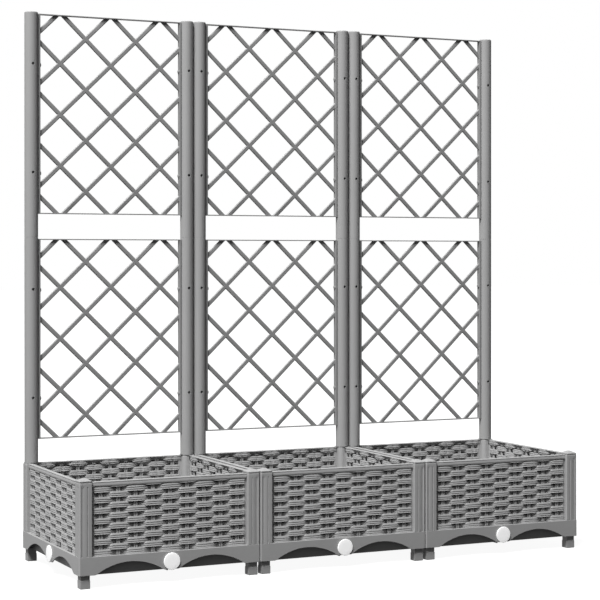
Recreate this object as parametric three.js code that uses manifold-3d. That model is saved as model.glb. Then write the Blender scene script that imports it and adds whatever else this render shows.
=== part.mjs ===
// Row of square planter boxes with basket-weave sides and a lattice trellis on the back corner posts.
// Millimetres, +Z up, +X to the right, front towards -Y, origin on the ground under the middle of the row.
import * as THREE from "three";
import { mergeVertices } from "three/addons/utils/BufferGeometryUtils.js";
import Module from "manifold-3d";

const wasm = await Module();
wasm.setup();

// ---- driving dimensions ----

// Row
const boxCount = 3;
const boxSide = 399.8; // one box, over its skirt
const fit = 0.3; // clearance wherever two pieces meet

// Base tray
const skirtBottom = 27.5; // height of the skirt's lower edge
const skirtHeight = 37.5;
const skirtWall = 2.6;
const cornerRadius = 5; // outer corner of skirt and posts
const panInset = 18; // from the skirt's face to the pan's wall
const panDrop = 1.9; // how far the pan hangs below the skirt
const panWall = 2.6;
const panCorner = 8;
const floorWall = 3;
const columnWall = 2.5; // around the socket of a post's peg
const footSide = 20.5;
const footInset = 4.5;
const footChamfer = 2;
const archOffset = 90; // arch centre from the middle of a side
const archSpan = 147;
const archRise = 22.8;
const archSteps = 4; // pairs of facets on an arch
const floorRibHeight = 4.5;
const floorRibWall = 2.4;

// Drain plug and its hole
const drainRadius = 10;
const drainCollar = 5.6; // length of the collar below the floor
const drainCollarWall = 2.6;
const plugFlangeRadius = 16;
const plugFlange = 2.5;
const plugNeckRadius = 3;
const plugNeck = 2.5;
const plugKnobRadius = 5;
const plugKnob = 4;
const drainSteps = 10;

// Corner post
const postWidth = 28;
const postInset = 0.4; // posts and tubes stand this far inside the skirt's face
const postTop = 217; // height of the seat for caps and tubes
const postNeck = 2.8; // stepped-in band under the seat
const postNeckInset = 1.2;
const postCollar = 7.5; // plain top of the post, above its flutes
const postChamfer = 6; // inner corner
const fluteDepth = 1.1;
const fluteHalfWidth = 1.5;
const flutePlaces = [6.5, 17.5]; // from the outer corner
const slotDepth = 4.5; // of the grooves that hold the panels
const socketRadius = 7.5;
const socketDepth = 42;
const postPeg = 14;
const socketSteps = 6;

// Cap on a front post
const capSkirt = 2.4;
const capHeight = 8;
const capTip = 2.5; // half-width of the blunted tip
const capPeg = 20;

// Woven side panel
const panelTop = 216.5; // just under the seat, clear of the tubes
const panelRecess = 5.5; // crest of the weave behind the face of the posts
const panelThickness = 6.9;
const rimHeight = 8.5;
const rimProud = 0.5;
const rimInward = 1.6;
const rimEase = 1.5; // softened upper edges of the rim
const tongueThickness = 3.4; // edge that slides into the posts
const columnPitch = 37.7; // between the stakes that the strands pass over and under
const rowPitch = 21.35;
const firstGap = 12.9; // from the panel's top edge to the highest gap
const gapTop = 31; // width of a gap at its upper edge
const gapBottom = 20;
const gapHeight = 8.7;
const gapDepth = 3.2;

// Trellis tubes
const tubeRadius = 15;
const tubeWall = 1.9;
const sectionLength = 499;
const tubeEase = 2.5; // softened top edge
const postSpigot = 40;
const tubeSpigot = 25;
const tubeSteps = 12;
const pegHeights = [144, 384]; // above the lower end of a section
const pegRadius = 2;
const pegReach = 5; // how far a peg stands out of the lattice frame
const pegSteps = 6;

// Lattice panels
const latticeBottom = 52; // above the lower end of its section
const latticeHeight = 443.5;
const latticeFrame = 2.5;
const latticeDepth = 12;
const stripWidth = 10;
const stripDepth = 4;
const crossingX = 59.2; // from one crossing to the next, half a diamond
const crossingZ = 57;

// Medallions
const medallionRadius = 17.8;
const medallionHeight = 44; // centre above the ground
const medallionProud = 3;
const medallionRim = 3;
const medallionDish = 0.6;
const medallionSteps = 14;

// ---- sizes that follow ----

const half = boxSide / 2;
const boxPitch = boxSide + fit; // the boxes stand skirt to skirt
const ledge = skirtBottom + skirtHeight; // carries the posts and panels
const panBottom = skirtBottom - panDrop;
const panHalf = half - panInset;
const floorTop = panBottom + floorWall;
const postFace = half - postInset;
const postAxis = postFace - tubeRadius; // tubes stand flush with the faces of the posts
const postHeight = postTop - ledge - fit;
const postInner = tubeRadius - postWidth; // inner faces of a post, from its axis
const panelBody = postFace - postWidth - fit; // half-width between the posts
const panelHeight = panelTop - ledge - fit;
const columnCount = Math.floor((2 * panelBody) / columnPitch);
const rowCount = 1 + Math.floor((panelHeight - firstGap - gapHeight) / rowPitch);
const tongueFront = panelRecess + panelThickness - tongueThickness;
const latticeHalf = postAxis - tubeRadius - fit;
const pegFit = socketRadius - fit;

// ---- materials ----

const greyPlastic = { color: 0x9b9d9c, roughness: 0.55, metalness: 0 };
const whitePlastic = { color: 0xf1f1ef, roughness: 0.45, metalness: 0 };
const blackRubber = { color: 0x2a2b2c, roughness: 0.8, metalness: 0 };

// ---- shape helpers ----

// Closed mesh as a solid for joining and cutting.
function solid(geometry) {
  const bare = geometry.clone();
  bare.deleteAttribute("normal");
  bare.deleteAttribute("uv");
  const merged = mergeVertices(bare, 1e-4);
  const corners = merged.index.array;
  const triangles = [];
  for (let i = 0; i < corners.length; i += 3) {
    const [a, b, c] = corners.slice(i, i + 3);
    if (a !== b && b !== c && c !== a) triangles.push(a, b, c);
  }
  const vertProperties = merged.attributes.position.array;
  return new wasm.Manifold(new wasm.Mesh({ numProp: 3, vertProperties, triVerts: Uint32Array.from(triangles) }));
}

function geometryOf(body) {
  const { vertProperties, triVerts } = body.getMesh();
  const geometry = new THREE.BufferGeometry();
  geometry.setAttribute("position", new THREE.BufferAttribute(vertProperties, 3));
  geometry.setIndex(new THREE.BufferAttribute(triVerts, 1));
  geometry.computeVertexNormals();
  return geometry;
}

const join = (...bodies) => bodies.flat().reduce((all, body) => all.add(body));
const cut = (body, ...tools) => tools.flat().reduce((left, tool) => left.subtract(tool), body);

// Box from its lowest to its highest corner.
function block(low, high) {
  const size = high.map((value, i) => value - low[i]);
  const middle = high.map((value, i) => (value + low[i]) / 2);
  return solid(new THREE.BoxGeometry(...size).translate(...middle));
}

// Upright prism over a plan shape.
function prism(shape, bottom, top, curveSegments = 1) {
  const settings = { depth: top - bottom, bevelEnabled: false, curveSegments };
  return solid(new THREE.ExtrudeGeometry(shape, settings).translate(0, 0, bottom));
}

// Bar along X over a section drawn in Y and Z, centred on X = 0.
function bar(section, halfLength) {
  const settings = { depth: 2 * halfLength, bevelEnabled: false };
  const geometry = new THREE.ExtrudeGeometry(section, settings).translate(0, 0, -halfLength);
  const axes = [new THREE.Vector3(0, 1, 0), new THREE.Vector3(0, 0, 1), new THREE.Vector3(1, 0, 0)];
  return solid(geometry.applyMatrix4(new THREE.Matrix4().makeBasis(...axes)));
}

const outline = (points) => new THREE.Shape(points.map(([x, y]) => new THREE.Vector2(x, y)));

// Body of revolution about Z from a counter-clockwise profile of [radius, height]; its flats lie on the true radii.
function turned(profile, steps) {
  const stretch = 1 / Math.cos(Math.PI / steps);
  const points = [...profile, profile[0]].map(([radius, height]) => new THREE.Vector2(radius * stretch, height));
  return solid(new THREE.LatheGeometry(points, steps, Math.PI / steps).rotateX(Math.PI / 2));
}

const rod = (radius, bottom, top, steps) => turned([[0, bottom], [radius, bottom], [radius, top], [0, top]], steps);

// Square with rounded corners about the origin.
function roundedSquare(halfSide, radius) {
  const shape = new THREE.Shape();
  [0, 1, 2, 3].forEach((quarter) => {
    const start = (quarter * Math.PI) / 2;
    const centre = new THREE.Vector2(halfSide - radius, halfSide - radius).rotateAround({ x: 0, y: 0 }, start);
    shape.absarc(centre.x, centre.y, radius, start, start + Math.PI / 2);
  });
  return shape;
}

const squareRing = (outer, outerRadius, inner, innerRadius, bottom, top) =>
  cut(
    prism(roundedSquare(outer, outerRadius), bottom, top),
    prism(roundedSquare(inner, innerRadius), bottom - 1, top + 1),
  );

const onEachSide = (body) => [0, 90, 180, 270].map((angle) => body.rotate([0, 0, angle]));

// ---- base tray: skirt with arches, ledge, sunk pan with drain, feet; origin on the ground ----

function archCutters() {
  const radius = (archSpan ** 2 / 4 + archRise ** 2) / (2 * archRise);
  const reach = Math.asin(archSpan / 2 / radius);
  const arch = new THREE.Shape();
  arch.moveTo(archSpan / 2, -panDrop - 1);
  arch.absarc(0, archRise - radius, radius, Math.PI / 2 - reach, Math.PI / 2 + reach);
  arch.lineTo(-archSpan / 2, -panDrop - 1);
  const cutter = prism(arch, -skirtWall - 1, 1, archSteps).rotate([90, 0, 0]);
  return [-1, 1].map((side) => cutter.translate([side * archOffset, -half, skirtBottom]));
}

function trayGeometry() {
  const skirtInner = half - skirtWall;
  const panInner = panHalf - panWall;
  const skirt = cut(
    squareRing(half, cornerRadius, skirtInner, cornerRadius - skirtWall, skirtBottom, ledge),
    archCutters().flatMap(onEachSide),
  );
  const ledgePlate = squareRing(half, cornerRadius, panInner, panCorner - panWall, ledge - skirtWall, ledge);
  const panWalls = squareRing(panHalf, panCorner, panInner, panCorner - panWall, panBottom, ledge);
  const floor = prism(roundedSquare(panHalf, panCorner), panBottom, floorTop);
  const collarRadius = drainRadius + drainCollarWall;
  const collar = rod(collarRadius, panBottom - drainCollar, panBottom + 1, drainSteps);
  const rib = block([-floorRibWall / 2, collarRadius - 1, panBottom - floorRibHeight],
    [floorRibWall / 2, panHalf - panCorner, panBottom + 1]);
  const columnHalf = socketRadius + columnWall;
  const column = block([postAxis - columnHalf, postAxis - columnHalf, skirtBottom],
    [skirtInner + 1, skirtInner + 1, ledge - 1]);
  const footHalf = footSide / 2;
  const footAxis = half - footInset - footHalf;
  const footProfile = [[0, 0], [footHalf - footChamfer, 0], [footHalf, footChamfer], [footHalf, skirtBottom + 1],
    [0, skirtBottom + 1]];
  const foot = turned(footProfile, 4).translate([footAxis, footAxis, 0]);
  const socket = rod(socketRadius, ledge - postPeg - fit, ledge + 1, socketSteps);
  const drain = rod(drainRadius, panBottom - drainCollar - 1, floorTop + 1, drainSteps);
  const body = join(skirt, ledgePlate, panWalls, floor, collar, onEachSide(join(column, foot)), onEachSide(rib));
  return geometryOf(cut(body, onEachSide(socket.translate([postAxis, postAxis, 0])), drain));
}

// ---- drain plug: stopper with a flange and a pull knob; origin at the floor's top ----

function plugGeometry() {
  const stem = drainRadius - fit;
  const stemBottom = -floorWall - drainCollar;
  const flangeTop = fit + plugFlange;
  const knobBottom = flangeTop + plugNeck;
  const knobTop = knobBottom + plugKnob;
  const profile = [[0, stemBottom], [stem, stemBottom], [stem, fit], [plugFlangeRadius, fit],
    [plugFlangeRadius, flangeTop], [plugNeckRadius, flangeTop], [plugNeckRadius, knobBottom],
    [plugKnobRadius, knobBottom], [plugKnobRadius, knobTop], [0, knobTop]];
  return geometryOf(turned(profile, drainSteps));
}

// ---- corner post: origin on its socket's axis at its foot, outer corner towards +X +Y ----

function postPlan(inset) {
  const outer = tubeRadius - inset;
  const inner = postInner + inset;
  const radius = cornerRadius - inset;
  const plan = new THREE.Shape();
  plan.moveTo(inner + postChamfer, inner);
  plan.lineTo(outer, inner);
  plan.absarc(outer - radius, outer - radius, radius, 0, Math.PI / 2);
  plan.lineTo(inner, outer);
  plan.lineTo(inner, inner + postChamfer);
  return plan;
}

// Cutters for the face towards +Y and, mirrored in the diagonal, for the one towards +X.
function postGrooves() {
  const fluteTop = postHeight - postCollar;
  const flutes = flutePlaces.map((place) => {
    const x = tubeRadius - place;
    const notch = outline([[x - 2 * fluteHalfWidth, tubeRadius + fluteDepth], [x, tubeRadius - fluteDepth],
      [x + 2 * fluteHalfWidth, tubeRadius + fluteDepth]]);
    return prism(notch, -1, fluteTop);
  });
  const slotFront = tubeRadius - tongueFront + fit;
  const slot = block([postInner - 1, slotFront - tongueThickness - 2 * fit, -1],
    [postInner + slotDepth, slotFront, postHeight + 1]);
  const grooves = [...flutes, slot];
  return [...grooves, ...grooves.map((body) => body.rotate([0, 0, 90]).mirror([1, 0, 0]))];
}

function postGeometry() {
  const shaft = prism(postPlan(0), 0, postHeight - postNeck);
  const neck = prism(postPlan(postNeckInset), postHeight - postNeck - 1, postHeight);
  const peg = rod(pegFit, -postPeg, 1, socketSteps);
  const socket = rod(socketRadius, postHeight - socketDepth, postHeight + 1, socketSteps);
  return geometryOf(cut(join(shaft, neck, peg), postGrooves(), socket));
}

// ---- cap: low pyramid on a front post; origin on the socket's axis at the post's seat ----

function capGeometry() {
  const side = postWidth / 2;
  const roof = turned([[0, fit], [side, fit], [side, capSkirt], [capTip, capHeight], [0, capHeight]], 4);
  const offset = tubeRadius - side;
  const trimmed = roof.translate([offset, offset, 0]).intersect(prism(postPlan(0), 0, capHeight + 1));
  return geometryOf(join(trimmed, rod(pegFit, -capPeg, fit + 1, socketSteps)));
}

// ---- woven panel: X along the side, Y inwards from the face of the posts, Z up from the ledge ----

// Recess between two strands: a gap that is deepest under the strand above it.
function gapCutter() {
  const front = panelRecess - 1;
  const back = panelRecess + gapDepth;
  const slope = outline([[front, 0], [back, 0], [panelRecess, -gapHeight], [front, -gapHeight]]);
  const wedge = bar(slope, gapTop / 2);
  const funnel = outline([[-gapTop / 2, 0], [-gapBottom / 2, -gapHeight], [gapBottom / 2, -gapHeight], [gapTop / 2, 0]]);
  return wedge.intersect(prism(funnel, -back - 1, 0).rotate([90, 0, 0]));
}

function weaveGaps() {
  const cutter = gapCutter();
  const middle = (columnCount - 1) / 2;
  const gaps = [];
  for (let column = 0; column < columnCount; column += 1) {
    const lowered = column % 2 === 0; // every second column lies half a pitch lower and has one gap less
    const rows = lowered ? rowCount - 1 : rowCount;
    for (let row = 0; row < rows; row += 1) {
      const drop = firstGap + rowPitch * (lowered ? row + 0.5 : row);
      gaps.push(cutter.translate([(column - middle) * columnPitch, 0, panelHeight + fit - drop]));
    }
  }
  return gaps;
}

function panelGeometry(gaps) {
  const back = panelRecess + panelThickness;
  const rimFront = panelRecess - rimProud;
  const rimBack = back + rimInward;
  const top = panelHeight + fit;
  const section = outline([[panelRecess, fit], [back, fit], [back, top - rimHeight - rimInward],
    [rimBack, top - rimHeight], [rimBack, top - rimEase], [rimBack - rimEase, top], [rimFront + rimEase, top],
    [rimFront, top - rimEase], [rimFront, top - rimHeight], [panelRecess, top - rimHeight]]);
  const tongueHalf = panelBody + fit + slotDepth - fit;
  const tongue = block([-tongueHalf, tongueFront, fit], [tongueHalf, back, postHeight]);
  return geometryOf(cut(join(bar(section, panelBody), tongue), gaps));
}

// ---- trellis tube: origin on its axis at the lower shoulder; inward is the side of its lattice panel ----

function tubeGeometry(isTop, inward) {
  const bore = tubeRadius - tubeWall;
  const length = sectionLength - fit;
  const spigot = isTop ? bore - fit : pegFit;
  const spigotLength = isTop ? tubeSpigot : postSpigot;
  const foot = [[spigot - tubeWall, -spigotLength], [spigot, -spigotLength], [spigot, 0], [tubeRadius, 0]];
  const closedTop = [[tubeRadius, length - tubeEase], [tubeRadius - tubeEase, length], [0, length],
    [0, length - tubeWall], [bore, length - tubeWall]];
  const openTop = [[tubeRadius, length], [bore, length]];
  const shoulder = [[bore, tubeWall], [spigot - tubeWall, tubeWall]];
  const body = turned([...foot, ...(isTop ? closedTop : openTop), ...shoulder], tubeSteps);
  const drill = rod(pegRadius + fit, bore - 2, tubeRadius + 1, pegSteps);
  const drills = [drill.rotate([90, 0, 0]), drill.rotate([0, 90 * inward, 0])];
  const holes = pegHeights.flatMap((height) => drills.map((hole) => hole.translate([0, 0, height])));
  return geometryOf(cut(body, holes));
}

// ---- lattice panel: origin on the tubes' plane at its lower edge ----

function latticeStrips() {
  const slope = THREE.MathUtils.radToDeg(Math.atan2(crossingZ, crossingX));
  const length = 2 * Math.hypot(latticeHalf, latticeHeight);
  const strip = block([-length / 2, -stripDepth / 2, -stripWidth / 2], [length / 2, stripDepth / 2, stripWidth / 2]);
  const lines = Math.ceil((latticeHalf / crossingX + latticeHeight / 2 / crossingZ) / 2);
  const strips = [];
  for (let line = -lines; line <= lines; line += 1) {
    for (const lean of [-1, 1]) {
      strips.push(strip.rotate([0, -lean * slope, 0]).translate([lean * line * crossingX, 0, -line * crossingZ]));
    }
  }
  return join(strips).translate([0, 0, latticeHeight / 2]);
}

function latticeGeometry() {
  const plate = (inset, depth) =>
    block([inset - latticeHalf, -depth / 2, inset], [latticeHalf - inset, depth / 2, latticeHeight - inset]);
  const frame = cut(plate(0, latticeDepth), plate(latticeFrame, latticeDepth + 2));
  const grid = latticeStrips().intersect(plate(latticeFrame / 2, stripDepth));
  const peg = rod(pegRadius, latticeHalf - latticeFrame / 2, latticeHalf + pegReach, pegSteps);
  const pegs = pegHeights.flatMap((height) =>
    [-90, 90].map((turn) => peg.rotate([0, turn, 0]).translate([0, 0, height - latticeBottom])));
  return geometryOf(join(frame, grid, pegs));
}

// ---- medallion: blank dished disc; origin on the skirt's face, rising towards -Y ----

function medallionGeometry() {
  const top = medallionProud;
  const dish = top - medallionDish;
  const inner = medallionRadius - medallionRim;
  const profile = [[0, fit], [medallionRadius, fit], [medallionRadius, top], [inner, top],
    [inner - medallionDish, dish], [0, dish]];
  return geometryOf(turned(profile, medallionSteps).rotate([90, 0, 0]));
}

// ---- assembly ----

const shapes = {
  tray: trayGeometry(),
  plug: plugGeometry(),
  post: postGeometry(),
  cap: capGeometry(),
  wovenPanel: panelGeometry(weaveGaps()),
  plainPanel: panelGeometry([]), // stands against a neighbouring box, so its outer face is left plain
  lattice: latticeGeometry(),
  medallion: medallionGeometry(),
};

function piece(name, geometry, finish, position = [0, 0, 0], turn = 0) {
  const mesh = new THREE.Mesh(geometry, new THREE.MeshStandardMaterial(finish));
  mesh.name = name;
  mesh.position.set(...position);
  mesh.rotation.z = turn;
  return mesh;
}

// Sides and corners in counter-clockwise order, each a quarter turn from the last.
const sides = ["front", "right", "back", "left"];
const corners = ["back_right", "back_left", "front_left", "front_right"];

// Point at a distance from the box's middle, out through a side.
function sidePoint(turn, distance, height) {
  const point = new THREE.Vector3(0, -distance, height);
  return point.applyAxisAngle(new THREE.Vector3(0, 0, 1), turn).toArray();
}

function boxGroup(name, isFirst, isLast) {
  const box = new THREE.Group();
  box.add(piece(`${name}_tray`, shapes.tray, greyPlastic));
  box.add(piece(`${name}_drain_plug`, shapes.plug, blackRubber, [0, 0, floorTop]));
  sides.forEach((side, quarter) => {
    const turn = (quarter * Math.PI) / 2;
    const isJoined = (side === "left" && !isFirst) || (side === "right" && !isLast);
    const panel = isJoined ? shapes.plainPanel : shapes.wovenPanel;
    box.add(piece(`${name}_panel_${side}`, panel, greyPlastic, sidePoint(turn, postFace, ledge), turn));
    if (side === "front" || (side === "left" && isFirst)) {
      const place = sidePoint(turn, half, medallionHeight);
      box.add(piece(`${name}_medallion_${side}`, shapes.medallion, whitePlastic, place, turn));
    }
  });
  corners.forEach((corner, quarter) => {
    const turn = (quarter * Math.PI) / 2;
    const [x, y] = new THREE.Vector3(postAxis, postAxis, 0).applyAxisAngle(new THREE.Vector3(0, 0, 1), turn);
    box.add(piece(`${name}_post_${corner}`, shapes.post, greyPlastic, [x, y, ledge + fit], turn));
    if (corner.startsWith("front")) {
      box.add(piece(`${name}_cap_${corner}`, shapes.cap, greyPlastic, [x, y, postTop], turn));
    }
  });
  return box;
}

function trellisGroup(name) {
  const trellis = new THREE.Group();
  trellis.position.set(0, postAxis, postTop);
  ["lower", "upper"].forEach((level, section) => {
    const bottom = section * sectionLength;
    ["left", "right"].forEach((side) => {
      const outward = side === "left" ? -1 : 1;
      const geometry = tubeGeometry(level === "upper", -outward);
      trellis.add(piece(`${name}_tube_${side}_${level}`, geometry, greyPlastic, [outward * postAxis, 0, bottom + fit]));
    });
    trellis.add(piece(`${name}_lattice_${level}`, shapes.lattice, greyPlastic, [0, 0, bottom + latticeBottom]));
  });
  return trellis;
}

const planter = new THREE.Group();
for (let index = 0; index < boxCount; index += 1) {
  const name = `box${index + 1}`;
  const station = new THREE.Group();
  station.position.x = (index - (boxCount - 1) / 2) * boxPitch;
  station.add(boxGroup(name, index === 0, index === boxCount - 1), trellisGroup(name));
  planter.add(station);
}

export default planter;
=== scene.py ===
import math

import bmesh
import bpy
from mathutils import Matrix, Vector


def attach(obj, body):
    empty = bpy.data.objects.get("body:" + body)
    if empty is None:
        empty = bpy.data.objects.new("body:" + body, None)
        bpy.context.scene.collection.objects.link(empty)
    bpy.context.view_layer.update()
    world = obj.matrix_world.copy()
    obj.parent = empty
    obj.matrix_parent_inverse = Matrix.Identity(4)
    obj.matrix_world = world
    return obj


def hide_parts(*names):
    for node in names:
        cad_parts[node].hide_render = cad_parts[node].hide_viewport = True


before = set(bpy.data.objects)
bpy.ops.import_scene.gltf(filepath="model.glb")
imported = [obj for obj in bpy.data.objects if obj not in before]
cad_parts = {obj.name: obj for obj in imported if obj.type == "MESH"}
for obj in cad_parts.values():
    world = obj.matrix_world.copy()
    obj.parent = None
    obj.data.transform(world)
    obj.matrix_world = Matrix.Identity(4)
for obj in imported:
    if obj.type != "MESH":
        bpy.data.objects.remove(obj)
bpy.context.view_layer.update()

# Settings are in millimetres, as on a drawing.
# A piece is modelled in them and resized to metres when it is done.
mm = 0.001

row = {
    "boxes": ["box1", "box2", "box3"],
    "pitch": 400.1,  # from one box's middle to the next
    "sides": ["front", "right", "back", "left"],
    "corners": ["back_right", "back_left", "front_left", "front_right"],
    "smoothAngle": 34,
}


# Tools of the bench

def deselectAll():
    if bpy.context.object and bpy.context.object.mode != "OBJECT":
        bpy.ops.object.mode_set(mode="OBJECT")
    bpy.ops.object.select_all(action="DESELECT")


def workOn(piece):
    deselectAll()
    bpy.context.view_layer.objects.active = piece
    piece.select_set(True)


def startEdit(piece):
    workOn(piece)
    bpy.ops.object.mode_set(mode="EDIT")


def endEdit():
    bpy.ops.object.mode_set(mode="OBJECT")


def choose(kind, test):  # selects what passes the test on its middle and its normal or direction
    bpy.ops.mesh.select_mode(type=kind)
    bpy.ops.mesh.select_all(action="DESELECT")
    shape = bmesh.from_edit_mesh(bpy.context.edit_object.data)
    shape.normal_update()
    if kind == "VERT":
        for vert in shape.verts:
            vert.select_set(test(vert.co, vert.normal))
    if kind == "EDGE":
        for edge in shape.edges:
            first, last = (vert.co for vert in edge.verts)
            edge.select_set(test((first + last) / 2, (last - first).normalized()))
    if kind == "FACE":
        for face in shape.faces:
            face.select_set(test(face.calc_center_median(), face.normal))
    shape.select_flush_mode()
    bmesh.update_edit_mesh(bpy.context.edit_object.data)


def near(value, goal, slack=0.02):
    return abs(value - goal) < slack


def extrude(x=0, y=0, z=0):
    bpy.ops.mesh.extrude_region_move(TRANSFORM_OT_translate={"value": (x, y, z)})


def applyPlace():
    bpy.ops.object.transform_apply(location=True, rotation=True, scale=True)


def addBox(name, low, high):
    deselectAll()
    middle = [(a + b) / 2 for a, b in zip(low, high)]
    size = [b - a for a, b in zip(low, high)]
    bpy.ops.mesh.primitive_cube_add(size=1, location=middle, scale=size)
    applyPlace()
    bpy.context.object.name = name
    return bpy.context.object


def addRod(name, radius, foot, length, steps=32, turn=(0, 0, 0)):  # stands on its foot along its own Z
    deselectAll()
    bpy.ops.mesh.primitive_cylinder_add(vertices=steps, radius=radius, depth=length, location=(0, 0, 0))
    rod = bpy.context.object
    bpy.ops.object.mode_set(mode="EDIT")
    bpy.ops.transform.translate(value=(0, 0, length / 2))
    bpy.ops.object.mode_set(mode="OBJECT")
    rod.location = foot
    rod.rotation_euler = [math.radians(angle) for angle in turn]
    applyPlace()
    rod.name = name
    return rod


def roundUprights(piece, radius, segments, test=lambda middle: True):
    startEdit(piece)
    choose("EDGE", lambda middle, way: abs(way.z) > 0.99 and test(middle))
    bpy.ops.mesh.bevel(offset=radius, segments=segments, affect="EDGES")
    endEdit()


def roundedBox(name, halfSide, radius, bottom, top, segments=6):
    piece = addBox(name, (-halfSide, -halfSide, bottom), (halfSide, halfSide, top))
    roundUprights(piece, radius, segments)
    return piece


def modify(piece, kind, **settings):
    workOn(piece)
    modifier = piece.modifiers.new(kind, kind)
    for key, value in settings.items():
        setattr(modifier, key, value)
    bpy.ops.object.modifier_apply(modifier=modifier.name)


def combine(piece, tool, operation):
    modify(piece, "BOOLEAN", object=tool, operation=operation, solver="EXACT")
    bpy.data.objects.remove(tool)


def softenEdges(piece, width, segments=2, angle=40):
    modify(piece, "BEVEL", width=width, segments=segments, limit_method="ANGLE",
           angle_limit=math.radians(angle), use_clamp_overlap=True, harden_normals=False)


def joinAll(name, parts):
    deselectAll()
    for part in parts:
        part.select_set(True)
    bpy.context.view_layer.objects.active = parts[0]
    if len(parts) > 1:
        bpy.ops.object.join()
    parts[0].name = name
    return parts[0]


def duplicate(piece, name, turn=0, shift=(0, 0, 0), flip=False):  # a copy with its own mesh
    workOn(piece)
    bpy.ops.object.duplicate()
    twin = bpy.context.object
    twin.name = name
    if flip:
        twin.scale = (-1, 1, 1)
        applyPlace()
        cleanUp(twin, 0)
        evenShading(twin)
    twin.rotation_euler = (0, 0, math.radians(turn))
    twin.location = shift
    applyPlace()
    return twin


def cleanUp(piece, merge):
    startEdit(piece)
    bpy.ops.mesh.select_all(action="SELECT")
    if merge:
        bpy.ops.mesh.remove_doubles(threshold=merge)
    bpy.ops.mesh.normals_make_consistent(inside=False)
    endEdit()


def evenShading(piece):  # large flat faces keep their own direction beside small rounded ones
    modify(piece, "WEIGHTED_NORMAL", keep_sharp=True, weight=50)


# From millimetres to a smooth piece in metres
def finishMaster(piece, finish, merge=0.001, angle=row["smoothAngle"]):
    cleanUp(piece, merge)
    startEdit(piece)
    bpy.ops.mesh.select_all(action="SELECT")
    bpy.ops.transform.resize(value=(mm, mm, mm), center_override=(0, 0, 0))
    endEdit()
    bpy.ops.object.shade_smooth_by_angle(angle=math.radians(angle))
    if finish:
        evenShading(piece)
        piece.data.materials.clear()
        piece.data.materials.append(finish)
    return piece


def putInPlace(master, name, node, turn=0, x=0.0, y=0.0, body="planter", flip=False):
    twin = duplicate(master, name, turn, (x * mm, y * mm, 0), flip)
    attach(twin, body)
    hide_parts(node)
    return twin


# Finishes

class Wire:  # one socket of a material, on which sums and products become Math nodes
    def __init__(self, tree, socket=None):
        self.tree = tree
        self.socket = socket

    def make(self, kind, settings, inputs, output=0):
        node = self.tree.nodes.new(kind)
        for key, value in settings.items():
            if key == "stops":
                ramp = node.color_ramp
                while len(ramp.elements) < len(value):
                    ramp.elements.new(0.5)
                for stop, (position, colour) in zip(ramp.elements, value):
                    stop.position = position
                    stop.color = colour
            else:
                setattr(node, key, value)
        for key, value in inputs.items():
            if isinstance(value, Wire):
                self.tree.links.new(value.socket, node.inputs[key])
            else:
                node.inputs[key].default_value = value
        return Wire(self.tree, node.outputs[output])

    def calc(self, operation, first, second):
        return self.make("ShaderNodeMath", {"operation": operation}, {0: first, 1: second})

    def __add__(self, other):
        return self.calc("ADD", self, other)

    def __radd__(self, other):
        return self.calc("ADD", other, self)

    def __sub__(self, other):
        return self.calc("SUBTRACT", self, other)

    def __rsub__(self, other):
        return self.calc("SUBTRACT", other, self)

    def __mul__(self, other):
        return self.calc("MULTIPLY", self, other)

    def __rmul__(self, other):
        return self.calc("MULTIPLY", other, self)

    def atLeast(self, floor):
        return self.calc("MAXIMUM", self, floor)

    def to(self, socket):
        self.tree.links.new(self.socket, socket)


def grey(value, warmth=0.0):
    return (value * (1 + warmth), value, value * (1 - warmth), 1)


plasticFinish = {
    "cloudScale": 9,  # slow change of tone over a moulding
    "grainScale": 900,  # satin grain of the mould
    "grainDepth": 0.00006,
    "drawDepth": 0.00005,  # lines left by drawing or moulding
    "bumpStrength": 0.6,
    "shares": (0.45, 0.4, 0.15),  # of cloud, lines and grain in the tone
    "contrast": 0.045,
    "roughness": 0.5,
    "roughnessSpread": 0.08,
    "specular": 0.35,
}


def makePlastic(name, tone, drawScale, contrast=1.0, roughness=plasticFinish["roughness"]):
    material = bpy.data.materials.new(name)
    material.use_nodes = True
    shader = material.node_tree.nodes["Principled BSDF"]
    wire = Wire(material.node_tree)
    place = wire.make("ShaderNodeTexCoord", {}, {}, "Object")
    stretched = wire.make("ShaderNodeMapping", {}, {"Vector": place, "Scale": drawScale})
    cloudScale, grainScale = plasticFinish["cloudScale"], plasticFinish["grainScale"]
    cloud = wire.make("ShaderNodeTexNoise", {}, {"Vector": place, "Scale": cloudScale, "Detail": 3})
    lines = wire.make("ShaderNodeTexNoise", {}, {"Vector": stretched, "Scale": 1, "Detail": 2})
    grain = wire.make("ShaderNodeTexNoise", {}, {"Vector": place, "Scale": grainScale, "Detail": 2})
    spread = plasticFinish["contrast"] * contrast
    cloudShare, lineShare, grainShare = plasticFinish["shares"]
    level = cloud * cloudShare + lines * lineShare + grain * grainShare
    stops = [(0.3, grey(tone * (1 - spread))), (0.7, grey(tone * (1 + spread)))]
    wire.make("ShaderNodeValToRGB", {"stops": stops}, {"Fac": level}).to(shader.inputs["Base Color"])
    wear, strength = plasticFinish["roughnessSpread"], plasticFinish["bumpStrength"]
    (roughness - wear + cloud * wear + grain * wear).to(shader.inputs["Roughness"])
    coarse = wire.make("ShaderNodeBump", {}, {
        "Height": lines, "Strength": strength, "Distance": plasticFinish["drawDepth"]})
    fine = wire.make("ShaderNodeBump", {}, {
        "Height": grain, "Strength": strength, "Distance": plasticFinish["grainDepth"], "Normal": coarse})
    fine.to(shader.inputs["Normal"])
    shader.inputs["Specular IOR Level"].default_value = plasticFinish["specular"]
    return material


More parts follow.
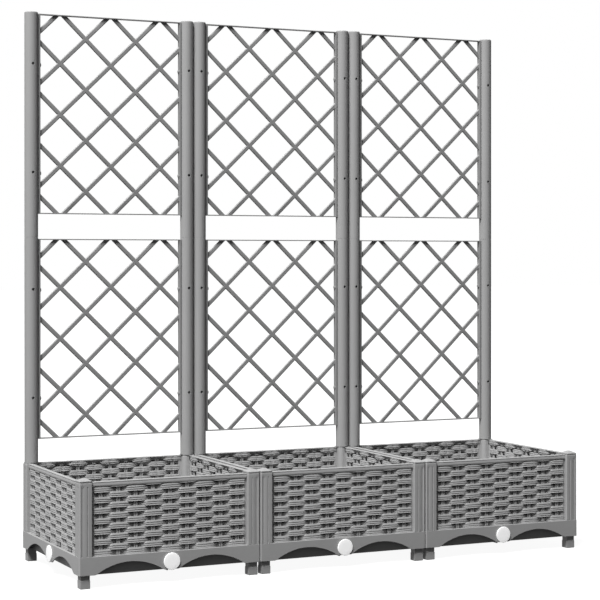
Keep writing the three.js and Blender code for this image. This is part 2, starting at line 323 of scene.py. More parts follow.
tones = {
    "woven": 0.37,
    # painted shade: near-black tone for the deep hollows of the weave and the drilled holes, where shadow
    # falls
    "gap": 0.03,
    "frame": 0.348,
    "tube": 0.322,
    "lattice": 0.26,
    "medallion": 0.95,
    "medallionPaintedGlow": 0.2,  # painted light: the white disc glows a little, brighter than its lighting makes it
    "plug": 0.025,
}
wovenPlastic = makePlastic("wovenPlastic", tones["woven"], (40, 40, 1400), 1.5)
# painted shade: a near-black plastic that stands in for the shadow deep in the weave's hollows and holes
gapPlastic = makePlastic("gapPlastic", tones["gap"], (100, 100, 100), 1.0, 0.9)
framePlastic = makePlastic("framePlastic", tones["frame"], (60, 60, 200))
tubePlastic = makePlastic("tubePlastic", tones["tube"], (900, 900, 5))
latticePlastic = makePlastic("latticePlastic", tones["lattice"], (200, 200, 200))
medallionPlastic = makePlastic("medallionPlastic", tones["medallion"], (100, 100, 100), 0.3, 0.4)
whiteShader = medallionPlastic.node_tree.nodes["Principled BSDF"]
# painted light: the medallion glows though it is no lamp
whiteShader.inputs["Emission Color"].default_value = grey(1.0)
whiteShader.inputs["Emission Strength"].default_value = tones["medallionPaintedGlow"]
plugRubber = makePlastic("plugRubber", tones["plug"], (100, 100, 100), 4.0, 0.72)
print("finishes mixed")

# Base tray: skirt with arches, ledge, sunk pan, feet

tray = {
    "half": 199.9,
    "cornerRadius": 3.2,
    "skirtBottom": 27.5,
    "ledge": 65,
    "wall": 2.6,
    "archOffset": 90,
    "archSpan": 147,
    "archRise": 22.8,
    "archSteps": 240,
    "archTipRound": 3,
    "panHalf": 181.9,
    "panCorner": 8,
    "panBottom": 25.6,
    "floor": 3,
    "footMiddle": 185.15,
    "footHalf": 10.25,
    "footChamfer": 1,
    "footNeckFrom": 16.5,
    "footNeckInset": 0.6,
    "drainRadius": 10,
    "collarRadius": 12.6,
    "collarDrop": 5.6,
    "ribDrop": 4.5,
    "ribHalf": 1.2,
    "edge": 0.7,
    "footEdge": 0.5,
    "footLap": 1.5,  # how far a foot runs up into the skirt
    "panLap": 0.6,  # how far the pan runs up into the ledge
    "ledgeLap": 0.05,  # the ledge reaches this far inside the pan's wall
    "drainFrom": 10,
    "drainLength": 60,
    "cutPast": 5,  # how far a cutting solid runs past the piece
}


def buildTray():
    half, wall, bottom, ledge = tray["half"], tray["wall"], tray["skirtBottom"], tray["ledge"]
    soilHalf, soilCorner, past = tray["panHalf"] - wall, tray["panCorner"] - wall, tray["cutPast"]
    # skirt and ledge in one closed shell, open over the soil pan
    body = roundedBox("trayMaster", half, tray["cornerRadius"], bottom, ledge)
    hollow = roundedBox("hollow", half - wall, tray["cornerRadius"] - wall, bottom - past, ledge - wall)
    combine(body, hollow, "DIFFERENCE")
    opening = roundedBox("opening", soilHalf - tray["ledgeLap"], soilCorner, bottom - past, ledge + past)
    combine(body, opening, "DIFFERENCE")
    archRadius = (tray["archSpan"] ** 2 / 4 + tray["archRise"] ** 2) / (2 * tray["archRise"])
    archMiddle = bottom + tray["archRise"] - archRadius
    for side in (-1, 1):
        for turn in (0, 90):
            tool = addRod("arch", archRadius, (0, 0, 0), 2 * half + 20, tray["archSteps"], (90, 0, 0))
            tool.location = (side * tray["archOffset"], half + 10, archMiddle)
            workOn(tool)
            applyPlace()
            tool.rotation_euler = (0, 0, math.radians(turn))
            applyPlace()
            combine(body, tool, "DIFFERENCE")
    startEdit(body)
    tips = [side * tray["archOffset"] + end * tray["archSpan"] / 2 for side in (-1, 1) for end in (-1, 1)]
    choose("EDGE", lambda middle, way: near(middle.z, bottom, 0.05) and abs(way.z) < 0.1 and any(
        (near(middle.x, tip, 0.3) and abs(way.y) > 0.99) or (near(middle.y, tip, 0.3) and abs(way.x) > 0.99)
        for tip in tips))
    bpy.ops.mesh.bevel(offset=tray["archTipRound"], segments=4, affect="EDGES")
    endEdit()
    softenEdges(body, tray["edge"])
    # the pan ends inside the thickness of the ledge
    panBottom, panTop = tray["panBottom"], ledge - wall + tray["panLap"]
    pan = roundedBox("pan", tray["panHalf"], tray["panCorner"], panBottom, panTop)
    soil = roundedBox("soil", soilHalf, soilCorner, panBottom + tray["floor"], ledge + past)
    combine(pan, soil, "DIFFERENCE")
    for turn in (0, 90, 180, 270):
        low = (-tray["ribHalf"], tray["collarRadius"] - 1, panBottom - tray["ribDrop"])
        high = (tray["ribHalf"], tray["panHalf"] - tray["panCorner"], panBottom + 1)
        rib = addBox("rib", low, high)
        rib.rotation_euler = (0, 0, math.radians(turn))
        applyPlace()
        combine(pan, rib, "UNION")
    drop = tray["collarDrop"]
    combine(pan, addRod("collar", tray["collarRadius"], (0, 0, panBottom - drop), drop + 1), "UNION")
    drain = addRod("drain", tray["drainRadius"], (0, 0, tray["drainFrom"]), tray["drainLength"])
    combine(pan, drain, "DIFFERENCE")
    corners = [(x, y) for x in (-1, 1) for y in (-1, 1)]
    feet = [buildFoot(x * tray["footMiddle"], y * tray["footMiddle"]) for x, y in corners]
    return finishMaster(joinAll("trayMaster", [body, pan, *feet]), framePlastic)


def buildFoot(x, y):
    size = tray["footHalf"]
    foot = addBox("foot", (x - size, y - size, 0), (x + size, y + size, tray["footNeckFrom"]))
    startEdit(foot)
    choose("EDGE", lambda middle, way: near(middle.z, 0))
    bpy.ops.mesh.bevel(offset=tray["footChamfer"], segments=2, affect="EDGES")
    choose("FACE", lambda middle, normal: normal.z > 0.9)
    bpy.ops.mesh.inset(thickness=tray["footNeckInset"])
    extrude(z=tray["skirtBottom"] - tray["footNeckFrom"] + tray["footLap"])
    endEdit()
    softenEdges(foot, tray["footEdge"], 2, 60)
    return foot


trayMaster = buildTray()
print("tray modelled")

# Woven panel: strands over and under stakes, under a hollow rim

panel = {
    "halfLength": 171.2,
    "weaveHalf": 166.0,  # the weave stops short of the posts and leaves a dark recess beside them
    "bottom": 65.3,
    "top": 216.5,
    "middlePlane": 189.7,  # distance from the box's middle
    "columnPitch": 37.7,
    "columns": 9,
    "stops": (-14.2, -9.6, -3.6, -1.6, 0, 1.6, 3.6, 9.6, 14.2, 18.85),  # rings of edges about each column
    "flatness": 1.7,  # how square the wave of a strand is
    "frontShare": 0.45,  # its outer side stays in front for longer than behind
    "backShare": -0.25,  # its inner side stays behind for longer than in front
    "notchHalf": 2.5,
    "notchShare": 0.72,  # of the swing, in the middle of a strand that passes behind
    "rowPitch": 10.675,
    "rows": 14,
    "topStrandBottom": 203.6,
    "strandHeight": 12.4,
    "strandHalf": 1.3,  # half its thickness
    # three ridges, each steep below and sloping above: heights, and shares of that half
    "levels": ((0, 0.5), (0.9, 1), (3.7, 0.3), (4.7, 1), (7.8, 0.3), (8.8, 1), (12.4, 0.3)),
    "swing": 3.0,  # how far a strand leaves the middle plane
    "archDrop": 5.8,
    "webHalf": 0.4,
    "webSwing": 2.6,
    "stakeRadius": 2.3,
    "stakeFlat": 0.75,
    "stakeSpread": 2.3,
    "rimHeight": 10.1,
    "rimFront": 194.1,
    "rimLip": 0.4,
    "rimBack": 185.5,
    "rimEase": 1.4,
    "grooveHeight": 213.5,
    "grooveHalf": 0.8,
    "grooveDepth": 1.1,
    "beadHeight": 209.3,
    "beadHalf": 1.3,
    "beadProud": 0.45,
    "channelTop": 215.0,
    "channelDepth": 5.2,
    "tongueFront": 190.5,
    "tongueBack": 187.1,
    "tongueEnd": 175.4,
    "tongueLap": 1.5,  # how far it runs in under the weave
    "smoothAngle": 50,
}


def strandStations():
    reach = panel["columns"] // 2 + 1
    columns = range(-reach, reach + 1)
    places = [column * panel["columnPitch"] + stop for column in columns for stop in panel["stops"]]
    inner = [place for place in places if abs(place) < panel["weaveHalf"] - 1]
    return [-panel["weaveHalf"], *inner, panel["weaveHalf"]]


def growBar(name, low, high, levels=0):  # a bar along the panel with a ring of edges at each station
    stations = strandStations()
    bar = addBox(name, (stations[0], *low), (stations[1], *high))
    startEdit(bar)
    if levels:
        choose("EDGE", lambda middle, way: abs(way.z) > 0.99)
        bpy.ops.mesh.subdivide(number_cuts=levels)
    choose("FACE", lambda middle, normal: normal.x > 0.9)
    for first, last in zip(stations[1:], stations[2:]):
        extrude(x=last - first)
    endEdit()
    return bar


def crest(x, phase, share):  # 1 where a strand lies in front, -1 where it passes behind
    flatness = panel["flatness"]
    level = phase * math.cos(math.pi * x / panel["columnPitch"]) + share
    return math.tanh(flatness * level) / math.tanh(flatness * (1 + abs(share)))


def swingAt(x, phase, swing):
    fromColumn = (x + panel["columnPitch"] / 2) % panel["columnPitch"] - panel["columnPitch"] / 2
    level = crest(x, phase, panel["frontShare"])
    return swing * level * (panel["notchShare"] if abs(fromColumn) < panel["notchHalf"] and level < 0 else 1)


def wave(bar, phase, swing):
    startEdit(bar)
    for station in strandStations():
        choose("VERT", lambda place, normal: near(place.x, station))
        bpy.ops.transform.translate(value=(0, -swingAt(station, phase, swing), 0))
    endEdit()


# A strand's top arches over in front, and its lower edge hangs like a bowl behind
def archStrand(strand, phase, bottom):
    height, drop = panel["strandHeight"], panel["archDrop"]
    startEdit(strand)
    for station in strandStations():
        middle = -panel["middlePlane"] - swingAt(station, phase, panel["swing"])
        front, back = crest(station, phase, panel["frontShare"]), crest(station, phase, panel["backShare"])
        choose("VERT", lambda place, normal: near(place.x, station) and place.y < middle - 0.1)
        share = 1 - drop / height * (1 - front) / 2
        bpy.ops.transform.resize(value=(1, 1, share), center_override=(0, 0, bottom))
        choose("VERT", lambda place, normal: near(place.x, station) and place.y > middle + 0.1)
        share = 1 - drop / height * (1 + back) / 2
        bpy.ops.transform.resize(value=(1, 1, share), center_override=(0, 0, bottom + height))
        bpy.ops.transform.translate(value=(0, panel["swing"] * max(front - back, 0), 0))
    endEdit()


def repeatDown(piece, count, pitch):
    modify(piece, "ARRAY", count=count, use_relative_offset=False, use_constant_offset=True,
           constant_offset_displace=(0, 0, -pitch))


def buildStrand(index, phase):
    half, plane = panel["strandHalf"], -panel["middlePlane"]
    bottom = panel["topStrandBottom"] - index * panel["rowPitch"]
    strand = growBar("strand", (plane - half, bottom), (plane + half, bottom + panel["strandHeight"]), 5)
    level = panel["strandHeight"] / 6
    startEdit(strand)
    for ring, (height, share) in enumerate(panel["levels"]):
        choose("VERT", lambda place, normal: near(place.z, bottom + ring * level))
        bpy.ops.transform.resize(value=(1, share, 1), center_override=(0, plane, 0))
        bpy.ops.transform.translate(value=(0, 0, height - ring * level))
    endEdit()
    wave(strand, phase, panel["swing"])
    archStrand(strand, phase, bottom)
    repeatDown(strand, panel["rows"] // 2, 2 * panel["rowPitch"])
    return strand


def buildWeb(index, phase):
    half, plane = panel["webHalf"], -panel["middlePlane"]
    bottom = panel["topStrandBottom"] - index * panel["rowPitch"]
    web = growBar("web", (plane - half, bottom), (plane + half, bottom + panel["rowPitch"]))
    wave(web, phase, panel["webSwing"])
    repeatDown(web, panel["rows"] // 2, 2 * panel["rowPitch"])
    return web


def buildShelf():
    half, plane = panel["webHalf"], -panel["middlePlane"]
    height, swing = panel["topStrandBottom"], panel["webSwing"]
    shelf = growBar("shelf", (plane - swing, height - half), (plane + swing, height + half))
    startEdit(shelf)
    for station in strandStations():
        choose("VERT", lambda place, normal: near(place.x, station))
        width = max(abs(crest(station, 1, 0)), 0.1)
        bpy.ops.transform.resize(value=(1, width, 1), center_override=(0, plane, 0))
    endEdit()
    repeatDown(shelf, panel["rows"] - 1, panel["rowPitch"])
    return shelf


def buildStakes():
    stakes = []
    reach, bottom, plane = panel["columns"] // 2, panel["bottom"], -panel["middlePlane"]
    length = panel["top"] - panel["rimHeight"] + 2 - bottom
    for column in range(-reach, reach + 1):
        for side in (-1, 1):
            x = column * panel["columnPitch"] + side * panel["stakeSpread"]
            stakes.append(addRod("stake", panel["stakeRadius"], (x, plane, bottom), length, 12))
    stake = joinAll("stakes", stakes)
    startEdit(stake)
    bpy.ops.mesh.select_all(action="SELECT")
    bpy.ops.transform.resize(value=(1, panel["stakeFlat"], 1), center_override=(0, plane, 0))
    endEdit()
    return stake


def buildRim():
    length, top = panel["halfLength"], panel["top"]
    bottom = top - panel["rimHeight"]
    rim = addBox("rim", (-length, -panel["rimFront"], bottom), (length, -panel["rimBack"], top))
    startEdit(rim)
    choose("EDGE", lambda middle, way: near(middle.z, top) and abs(way.x) > 0.99)
    bpy.ops.mesh.bevel(offset=panel["rimEase"], segments=3, affect="EDGES")
    groove, bead = panel["grooveHeight"], panel["beadHeight"]
    grooveHalf, beadHalf = panel["grooveHalf"], panel["beadHalf"]
    for height in (bead - beadHalf, bead, bead + beadHalf,
                   groove - grooveHalf, groove, groove + grooveHalf, panel["channelTop"]):
        bpy.ops.mesh.select_all(action="SELECT")
        bpy.ops.mesh.bisect(plane_co=(0, 0, height), plane_no=(0, 0, 1))
    choose("VERT", lambda place, normal: near(place.z, groove) and near(place.y, -panel["rimFront"]))
    bpy.ops.transform.translate(value=(0, panel["grooveDepth"], 0))
    choose("VERT", lambda place, normal: near(place.z, bead) and near(place.y, -panel["rimFront"]))
    bpy.ops.transform.translate(value=(0, -panel["beadProud"], 0))
    choose("EDGE", lambda middle, way: near(middle.z, bottom) and near(middle.y, -panel["rimFront"]))
    bpy.ops.mesh.bevel(offset=panel["rimLip"], segments=3, affect="EDGES")
    choose("FACE", lambda middle, normal: normal.y > 0.95 and middle.z < panel["channelTop"])
    bpy.ops.mesh.dissolve_faces()
    bpy.ops.mesh.extrude_region_move(TRANSFORM_OT_translate={"value": (0, -panel["channelDepth"], 0)})
    endEdit()
    return rim


def buildPanel():
    light = [buildStrand(0, -1), buildStrand(1, 1), buildStakes()]
    # the webs and shelves deep between the strands get painted shade, near-black in place of their shadow
    paintedShadeParts = [buildWeb(0, -1), buildWeb(1, 1), buildShelf()]
    for part in light + paintedShadeParts:
        part.data.materials.append(gapPlastic if part in paintedShadeParts else wovenPlastic)
    weave = joinAll("weave", light + paintedShadeParts)
    startEdit(weave)
    bpy.ops.mesh.select_all(action="SELECT")
    bpy.ops.mesh.bisect(plane_co=(0, 0, panel["bottom"]), plane_no=(0, 0, 1), use_fill=True, clear_inner=True)
    endEdit()
    low = (-panel["tongueEnd"], -panel["tongueFront"], panel["bottom"])
    high = (panel["tongueEnd"], -panel["tongueBack"], panel["top"])
    weaveHalf, lap = panel["weaveHalf"], panel["tongueLap"]
    leftTongue = addBox("leftTongue", low, (-weaveHalf + lap, high[1], high[2]))
    rightTongue = addBox("rightTongue", (weaveHalf - lap, low[1], low[2]), high)
    rim = buildRim()
    for part in (rim, leftTongue, rightTongue):
        part.data.materials.append(wovenPlastic)
    whole = joinAll("panelMaster", [weave, rim, leftTongue, rightTongue])
    return finishMaster(whole, None, 0, panel["smoothAngle"])


panelMaster = buildPanel()
print("woven panel modelled, faces:", len(panelMaster.data.polygons))

# Corner post and its cap

post = {
    "outer": 199.5,
    "inner": 171.5,
    "cornerRadius": 3.5,
    "innerRadius": 9,
    "sideRadius": 1.8,
    "bottom": 65.3,
    "neckFrom": 214.2,
    "top": 217,
    "neckInset": 0.6,
    "fluteTop": 207.6,
    "fluteRunOut": 1.2,
    "flutes": ((7.4, 3.2, 1.9, 0.9), (18, 1.3, 0.5, 1.1)),  # from the corner, half mouth, half floor, depth
    "slotFront": 190.8,
    "slotBack": 186.8,
    "slotEnd": 176.0,
    "pegRadius": 7.2,
    "pegDrop": 14,
    "axis": 184.5,
    "pegSteps": 24,
    "socketRadius": 7.5,
    "socketDrop": 42,
    "edge": 0.4,
    "cutPast": 5,
}


def buildPost():
    inner, outer = post["inner"], post["outer"]
    shaft = addBox("postMaster", (inner, inner, post["bottom"]), (outer, outer, post["neckFrom"]))
    roundUprights(shaft, post["cornerRadius"], 6, lambda spot: spot.x + spot.y > 2 * outer - 1)
    roundUprights(shaft, post["innerRadius"], 6, lambda spot: near(spot.x, inner) and near(spot.y, inner))
    roundUprights(shaft, post["sideRadius"], 4, lambda spot: near(abs(spot.x - spot.y), outer - inner))
    startEdit(shaft)
    choose("FACE", lambda middle, normal: normal.z > 0.9)
    bpy.ops.mesh.inset(thickness=post["neckInset"])
    extrude(z=post["top"] - post["neckFrom"])
    fluteTop = post["fluteTop"]
    cuts = [((0, 0, fluteTop), (0, 0, 1)), ((0, 0, fluteTop - post["fluteRunOut"]), (0, 0, 1))]
    for place, mouth, floor, depth in post["flutes"]:
        for offset in (-mouth, -floor, floor, mouth):
            cuts.append(((outer - place + offset, 0, 0), (1, 0, 0)))
            cuts.append(((0, outer - place + offset, 0), (0, 1, 0)))
    for point, normal in cuts:
        bpy.ops.mesh.select_all(action="SELECT")
        bpy.ops.mesh.bisect(plane_co=point, plane_no=normal)
    low = fluteTop - 1
    for place, mouth, floor, depth in post["flutes"]:
        middle, reach = outer - place, floor + 0.05
        choose("VERT", lambda spot, normal:
               near(spot.y, outer) and abs(spot.x - middle) < reach and spot.z < low)
        bpy.ops.transform.translate(value=(0, -depth, 0))
        choose("VERT", lambda spot, normal:
               near(spot.x, outer) and abs(spot.y - middle) < reach and spot.z < low)
        bpy.ops.transform.translate(value=(-depth, 0, 0))
    endEdit()
    softenEdges(shaft, post["edge"], 2, 60)
    past = post["cutPast"]
    low, high, start = post["bottom"] - past, post["top"] + past, inner - past
    back, front, end = post["slotBack"], post["slotFront"], post["slotEnd"]
    combine(shaft, addBox("slot", (start, back, low), (end, front, high)), "DIFFERENCE")
    combine(shaft, addBox("slot", (back, start, low), (front, end, high)), "DIFFERENCE")
    axis, steps, drop = post["axis"], post["pegSteps"], post["pegDrop"]
    peg = addRod("peg", post["pegRadius"], (axis, axis, post["bottom"] - drop), drop + 1, steps)
    combine(shaft, peg, "UNION")
    drop = post["socketDrop"]
    socket = addRod("socket", post["socketRadius"], (axis, axis, post["top"] - drop), drop + past, steps)
    combine(shaft, socket, "DIFFERENCE")
    return finishMaster(shaft, framePlastic)


postMaster = buildPost()

cap = {
    "bottom": 217.3,
    "skirt": 1.6,
    "rise": 5.3,
    "tipShare": 0.19,
    "sideRadius": 3,
    "edge": 0.9,
    "pegDrop": 20,
}


def buildCap():
    inner, outer = post["inner"], post["outer"]
    top = cap["bottom"] + cap["skirt"]
    roof = addBox("capMaster", (inner, inner, cap["bottom"]), (outer, outer, top))
    roundUprights(roof, post["cornerRadius"], 6, lambda spot: spot.x + spot.y > 2 * outer - 1)
    roundUprights(roof, cap["sideRadius"], 3, lambda spot: spot.x + spot.y < 2 * outer - 12)
    middle, tip = (inner + outer) / 2, cap["tipShare"]
    startEdit(roof)
    choose("FACE", lambda place, normal: normal.z > 0.9)
    extrude(z=cap["rise"])
    bpy.ops.transform.resize(value=(tip, tip, 1), center_override=(middle, middle, top))
    endEdit()
    softenEdges(roof, cap["edge"], 3, 20)
    axis, drop = post["axis"], cap["pegDrop"]
    peg = addRod("peg", post["pegRadius"], (axis, axis, cap["bottom"] - drop), drop + 1, post["pegSteps"])
    combine(roof, peg, "UNION")
    return finishMaster(roof, framePlastic)


capMaster = buildCap()
print("post and cap modelled")

# Trellis tubes

tube = {
    "axis": 184.5,
    "radius": 15,
    "wall": 1.9,
    "steps": 64,
    "bottoms": {"lower": 217.3, "upper": 716.3},
    "tops": {"lower": 716.0, "upper": 1215.0},
    "spigotRadius": 7.2,
    "spigotDrop": 40,
    "upperSpigotDrop": 25,
    "spigotPlay": 0.3,
    "ease": 2.6,
    "seamEase": 0.35,
    "holes": {"lower": (361, 601), "upper": (860, 1100)},
    "holeRadius": 3.1,
    "drillLength": 12,
    "drillDepth": 5,
}


def buildTube(level):
    axis, radius, wall = tube["axis"], tube["radius"], tube["wall"]
    bottom, top = tube["bottoms"][level], tube["tops"][level]
    pipe = addRod("tubeMaster", radius, (axis, axis, bottom), top - bottom, tube["steps"])
    startEdit(pipe)
    if level == "lower":
        choose("FACE", lambda middle, normal: normal.z > 0.9)
        bpy.ops.mesh.inset(thickness=wall)
        extrude(z=bottom + wall - top)
        choose("FACE", lambda middle, normal: normal.z < -0.9)
        bpy.ops.mesh.inset(thickness=radius - tube["spigotRadius"])
        extrude(z=-tube["spigotDrop"])
    else:
        choose("FACE", lambda middle, normal: normal.z < -0.9)
        bpy.ops.mesh.inset(thickness=wall + tube["spigotPlay"])
        extrude(z=-tube["upperSpigotDrop"])
        bpy.ops.mesh.inset(thickness=wall)
        extrude(z=tube["upperSpigotDrop"] + top - bottom - wall)
    capEase = tube["ease"] if level == "upper" else tube["seamEase"]
    rim = radius - 0.1

    def onRim(middle, height):
        return near(middle.z, height) and math.hypot(middle.x - axis, middle.y - axis) > rim - 0.3

    choose("EDGE", lambda middle, way: onRim(middle, top))
    bpy.ops.mesh.bevel(offset=capEase, segments=4, affect="EDGES")
    choose("EDGE", lambda middle, way: onRim(middle, bottom))
    bpy.ops.mesh.bevel(offset=tube["seamEase"], segments=2, affect="EDGES")
    endEdit()
    for height in tube["holes"][level]:
        foot = (axis, axis - radius + tube["drillDepth"], height)
        drill = addRod("drill", tube["holeRadius"], foot, tube["drillLength"], 20, (90, 0, 0))
        # the walls of each drilled hole get the painted shade plastic, dark as the shadow inside the hole
        for face in drill.data.polygons:
            face.material_index = 1
        for part in (pipe, drill):
            part.data.materials.clear()
            part.data.materials.append(tubePlastic)
            part.data.materials.append(gapPlastic)
        combine(pipe, drill, "DIFFERENCE")
    finishMaster(pipe, None)
    evenShading(pipe)
    return pipe


tubeMasters = {level: buildTube(level) for level in ("lower", "upper")}
print("tubes modelled")

# Lattice panel: crossing strips in a thin frame

lattice = {
    "half": 169.2,
    "height": 443.5,
    "bottoms": {"lower": 269.0, "upper": 768.0},
    "plane": 184.5,
    "frame": 2.2,
    "sideExtra": 2.0,  # the upright members are this much wider
    "depth": 12,
    "stripWidth": 10,
    "stripDepth": 4,
    "stripStep": 0.05,  # one set of strips is this much thinner, so that no faces coincide
    "stripChamfer": 1.7,
    "crossingX": 59.2,
    "crossingZ": 57,
    "lines": 4,
    "edge": 0.5,
    "pegRadius": 2,
    "pegReach": 5,
    "pegHeights": (92, 332),
    "headRadius": 4.2,  # round heads of the pegs on the inner side of the frame
    "headProud": 2.4,
    "headDrop": 2,
    "headEdge": 0.8,
    "frameEdge": 0.4,
    "pegSteps": 20,
}


def buildStrips(lean):
    slope = math.atan2(lattice["crossingZ"], lattice["crossingX"])
    length = 2 * math.hypot(lattice["half"], lattice["height"])
    depth = lattice["stripDepth"] / 2 - (lattice["stripStep"] if lean > 0 else 0)
    width = lattice["stripWidth"]
    strips = []
    for line in range(-lattice["lines"], lattice["lines"] + 1):
        strip = addBox("strip", (-length / 2, -depth, -width / 2), (length / 2, depth, width / 2))
        startEdit(strip)
        choose("EDGE", lambda middle, way: abs(way.x) > 0.99)
        bpy.ops.mesh.bevel(offset=lattice["stripChamfer"], segments=1, affect="EDGES")
        endEdit()
        strip.rotation_euler = (0, -lean * slope, 0)
        strip.location = (lean * line * lattice["crossingX"], 0, -line * lattice["crossingZ"])
        applyPlace()
        strips.append(strip)
    return joinAll("strips", strips)


def buildLattice():
    half, height, frameWidth = lattice["half"], lattice["height"] / 2, lattice["frame"]
    grid = buildStrips(1)
    combine(grid, buildStrips(-1), "UNION")
    inner = addBox("inner", (-half + frameWidth / 2, -10, -height + frameWidth / 2),
                   (half - frameWidth / 2, 10, height - frameWidth / 2))
    combine(grid, inner, "INTERSECT")
    softenEdges(grid, lattice["edge"], 2, 60)
    depth = lattice["depth"] / 2
    frameBox = addBox("latticeFrame", (-half, -depth, -height), (half, depth, height))
    startEdit(frameBox)
    choose("FACE", lambda middle, normal: abs(normal.y) > 0.9)
    bpy.ops.mesh.inset(thickness=frameWidth)
    bpy.ops.mesh.bridge_edge_loops()
    for side in (-1, 1):
        choose("VERT", lambda place, normal: near(place.x, side * (half - frameWidth)))
        bpy.ops.transform.translate(value=(-side * lattice["sideExtra"], 0, 0))
    endEdit()
    softenEdges(frameBox, lattice["frameEdge"], 2, 60)
    parts = [grid, frameBox]
    innerSide = half - frameWidth - lattice["sideExtra"]
    steps = lattice["pegSteps"]
    for place in lattice["pegHeights"]:
        for side in (-1, 1):
            headFoot = (side * (innerSide + 1), 0, place - lattice["headDrop"] - height)
            head = addRod("pegHead", lattice["headRadius"], headFoot, lattice["headProud"] + 1, steps,
                          (0, -90 * side, 0))
            softenEdges(head, lattice["headEdge"], 2, 60)
            parts.append(head)
            pegFoot = (side * (half - 1), 0, place - height)
            parts.append(addRod("peg", lattice["pegRadius"], pegFoot, lattice["pegReach"] + 1, steps,
                                (0, 90 * side, 0)))
    return finishMaster(joinAll("latticeMaster", parts), latticePlastic)


latticeMaster = buildLattice()
print("lattice modelled")

# Medallion and drain plug

medallion = {
    "radius": 17.8,
    "face": 199.9,
    "fit": 0.3,
    "proud": 3,
    "height": 44,
    "domeSteps": ((3.4, 0.22), (5.5, 0.14)),  # width of a ring and how far it comes forward
    "ease": 0.9,
    "steps": 64,
}


def buildMedallion():
    thickness = medallion["proud"] - medallion["fit"] - sum(rise for width, rise in medallion["domeSteps"])
    back = -medallion["face"] - medallion["fit"]
    disc = addRod("medallionMaster", medallion["radius"], (0, back, medallion["height"]),
                  thickness, medallion["steps"], (90, 0, 0))
    startEdit(disc)
    front = back - thickness
    choose("EDGE", lambda middle, way: near(middle.y, front))
    bpy.ops.mesh.bevel(offset=medallion["ease"], segments=4, affect="EDGES")
    choose("FACE", lambda middle, normal: normal.y < -0.99)
    for width, rise in medallion["domeSteps"]:
        bpy.ops.mesh.inset(thickness=width)
        bpy.ops.transform.translate(value=(0, -rise, 0))
    endEdit()
    return finishMaster(disc, medallionPlastic)


medallionMaster = buildMedallion()

plug = {
    "stem": 9.7,
    "bottom": 20.0,
    "flangeBottom": 28.9,
    "flangeRadius": 16,
    "flange": 2.5,
    "neckRadius": 3,
    "neck": 2.5,
    "knobRadius": 5,
    "knob": 4,
    "steps": 48,
    "edge": 0.6,
}


def buildPlug():
    bottom, stem = plug["bottom"], plug["flangeBottom"] - plug["bottom"]
    stopper = addRod("plugMaster", plug["stem"], (0, 0, bottom), stem, plug["steps"])
    startEdit(stopper)
    choose("FACE", lambda middle, normal: normal.z > 0.9)
    radius = plug["stem"]
    for goal, rise in (("flangeRadius", "flange"), ("neckRadius", "neck"), ("knobRadius", "knob")):
        extrude(z=0)
        share = plug[goal] / radius
        bpy.ops.transform.resize(value=(share, share, 1), center_override=(0, 0, 0))
        extrude(z=plug[rise])
        radius = plug[goal]
    endEdit()
    softenEdges(stopper, plug["edge"], 3, 40)
    return finishMaster(stopper, plugRubber)


plugMaster = buildPlug()
print("medallion and plug modelled")

# Every piece in its place

plugBodies = {"box1": "drain_plug_left", "box2": "drain_plug_middle", "box3": "drain_plug_right"}


def fillRow():
    for index, box in enumerate(row["boxes"]):
        x = (index - 1) * row["pitch"]
        putInPlace(trayMaster, f"{box}Tray", f"{box}_tray", x=x)
        putInPlace(plugMaster, f"{box}Plug", f"{box}_drain_plug", x=x, body=plugBodies[box])
        for quarter, side in enumerate(row["sides"]):
            turn = 90 * quarter
            label, medallionNode = side.title(), f"{box}_medallion_{side}"
            putInPlace(panelMaster, f"{box}Panel{label}", f"{box}_panel_{side}", turn, x)
            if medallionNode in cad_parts:
                putInPlace(medallionMaster, f"{box}Medallion{label}", medallionNode, turn, x)
        for quarter, corner in enumerate(row["corners"]):
            turn = 90 * quarter
            label = corner.title().replace("_", "")
            putInPlace(postMaster, f"{box}Post{label}", f"{box}_post_{corner}", turn, x)
            if corner.startswith("front"):
                putInPlace(capMaster, f"{box}Cap{label}", f"{box}_cap_{corner}", turn, x)
        for level in ("lower", "upper"):
            label = level.title()
            pipe = tubeMasters[level]
            putInPlace(pipe, f"{box}TubeRight{label}", f"{box}_tube_right_{level}", x=x)
            putInPlace(pipe, f"{box}TubeLeft{label}", f"{box}_tube_left_{level}", x=x,
                       flip=True)
            panelPiece = putInPlace(latticeMaster, f"{box}Lattice{label}", f"{box}_lattice_{level}",
                                    x=x, y=lattice["plane"])
            workOn(panelPiece)
            bpy.ops.object.mode_set(mode="EDIT")
            bpy.ops.mesh.select_all(action="SELECT")
            lift = (lattice["bottoms"][level] + lattice["height"] / 2) * mm
            bpy.ops.transform.translate(value=(0, 0, lift))
            bpy.ops.object.mode_set(mode="OBJECT")
    for master in [trayMaster, plugMaster, panelMaster, medallionMaster, postMaster, capMaster, latticeMaster,
                   *tubeMasters.values()]:
        bpy.data.objects.remove(master)


fillRow()

# Floor, light and camera

studio = {
    "floorSize": 60,
    "floorGlow": (0.93, 1.0),  # dimmer under the row as a painted shadow, full far from it
    "paintedShadowReach": (0.5, 1.6),  # metres from the middle, where the painted shadow begins and ends to fade
    "floorTone": 0.2,
    "skyEven": 0.02,
    "skySide": 0.38,  # extra light from the left, as beside a tall white wall
    "skyTowards": (-0.86, -0.2, 0.47),
    "skyRear": 0.5,  # and from behind, for the far sides
    "rearTowards": (0.38, 0.92, 0.1),
    "keyPlace": (-4.3, -3.3, 8.9),
    "keyTarget": (0, 0, 0.5),
    "keySize": 4.0,
    "keyPower": 1700,
}

cameraPlace = {
    "place": (-1.72346, -3.63902, 0.674455),
    "turn": 25.923,  # degrees from +Y towards +X
    "dip": 0.128,
    "lens": 106.652,
    "shift": (-0.03922, -0.06667),
}


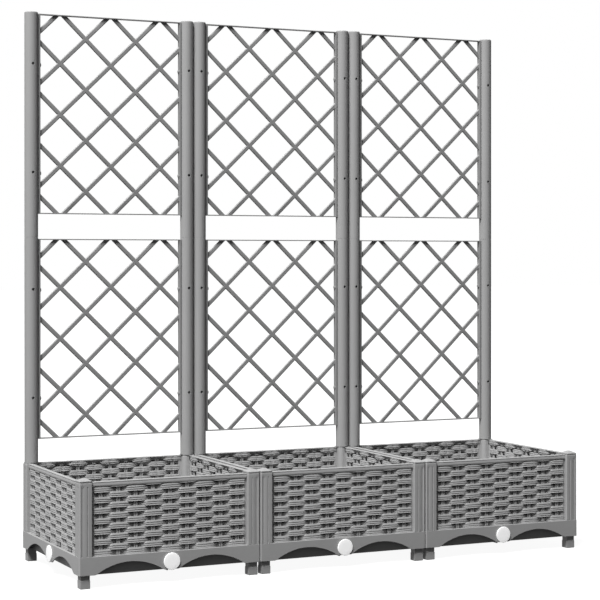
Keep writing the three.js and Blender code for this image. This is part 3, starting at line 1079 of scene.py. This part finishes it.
def buildFloor():
    deselectAll()
    bpy.ops.mesh.primitive_plane_add(size=studio["floorSize"], location=(0, 0, 0))
    floor = bpy.context.object
    floor.name = "floor"
    material = bpy.data.materials.new("paleFloor")
    material.use_nodes = True
    shader = material.node_tree.nodes["Principled BSDF"]
    wire = Wire(material.node_tree)
    place = wire.make("ShaderNodeTexCoord", {}, {}, "Object")
    distance = wire.make("ShaderNodeVectorMath", {"operation": "LENGTH"}, {0: place}, "Value")
    reach, glow = studio["paintedShadowReach"], studio["floorGlow"]
    # painted shadow: the floor glows less near the middle of the row
    glowWithPaintedShadow = wire.make("ShaderNodeMapRange", {"interpolation_type": "SMOOTHSTEP"}, {
        "Value": distance, "From Min": reach[0], "From Max": reach[1], "To Min": glow[0], "To Max": glow[1]})
    glowWithPaintedShadow.to(shader.inputs["Emission Strength"])
    shader.inputs["Base Color"].default_value = grey(studio["floorTone"])
    shader.inputs["Roughness"].default_value = 0.9
    shader.inputs["Specular IOR Level"].default_value = 0
    shader.inputs["Emission Color"].default_value = grey(1.0)
    floor.data.materials.append(material)
    floor.visible_diffuse = False
    floor.visible_glossy = False


def buildLight():
    world = bpy.data.worlds.new("studioSky")
    bpy.context.scene.world = world
    world.use_nodes = True
    wire = Wire(world.node_tree)
    seen = wire.make("ShaderNodeLightPath", {}, {}, "Is Camera Ray")
    way = wire.make("ShaderNodeTexCoord", {}, {}, "Generated")
    across = wire.make("ShaderNodeSeparateXYZ", {}, {0: way}, "X")
    along = wire.make("ShaderNodeSeparateXYZ", {}, {0: way}, "Y")
    above = wire.make("ShaderNodeSeparateXYZ", {}, {0: way}, "Z")

    def lobe(towards):
        return (across * towards[0] + along * towards[1] + above * towards[2]).atLeast(0)

    fromSide, fromRear = lobe(studio["skyTowards"]), lobe(studio["rearTowards"])
    toObject = fromSide * studio["skySide"] + fromRear * studio["skyRear"] + studio["skyEven"]
    strength = seen + (1 - seen) * toObject
    strength.to(world.node_tree.nodes["Background"].inputs["Strength"])
    world.node_tree.nodes["Background"].inputs["Color"].default_value = grey(1.0)
    place, target = Vector(studio["keyPlace"]), Vector(studio["keyTarget"])
    bpy.ops.object.light_add(type="AREA", location=place)
    key = bpy.context.object
    key.name = "keyLight"
    key.rotation_euler = (target - place).to_track_quat("-Z", "Y").to_euler()
    key.data.shape = "DISK"
    key.data.size = studio["keySize"]
    key.data.energy = studio["keyPower"]


def buildCamera():
    bpy.ops.object.camera_add(location=cameraPlace["place"])
    camera = bpy.context.object
    camera.name = "photoCamera"
    camera.rotation_euler = (math.radians(90 - cameraPlace["dip"]), 0, -math.radians(cameraPlace["turn"]))
    camera.data.sensor_width = 36
    camera.data.lens = cameraPlace["lens"]
    camera.data.shift_x, camera.data.shift_y = cameraPlace["shift"]
    camera.data.clip_start, camera.data.clip_end = 0.1, 100
    bpy.context.scene.camera = camera


buildFloor()
buildLight()
buildCamera()
bpy.context.scene.view_settings.view_transform = "Standard"
print("studio set")
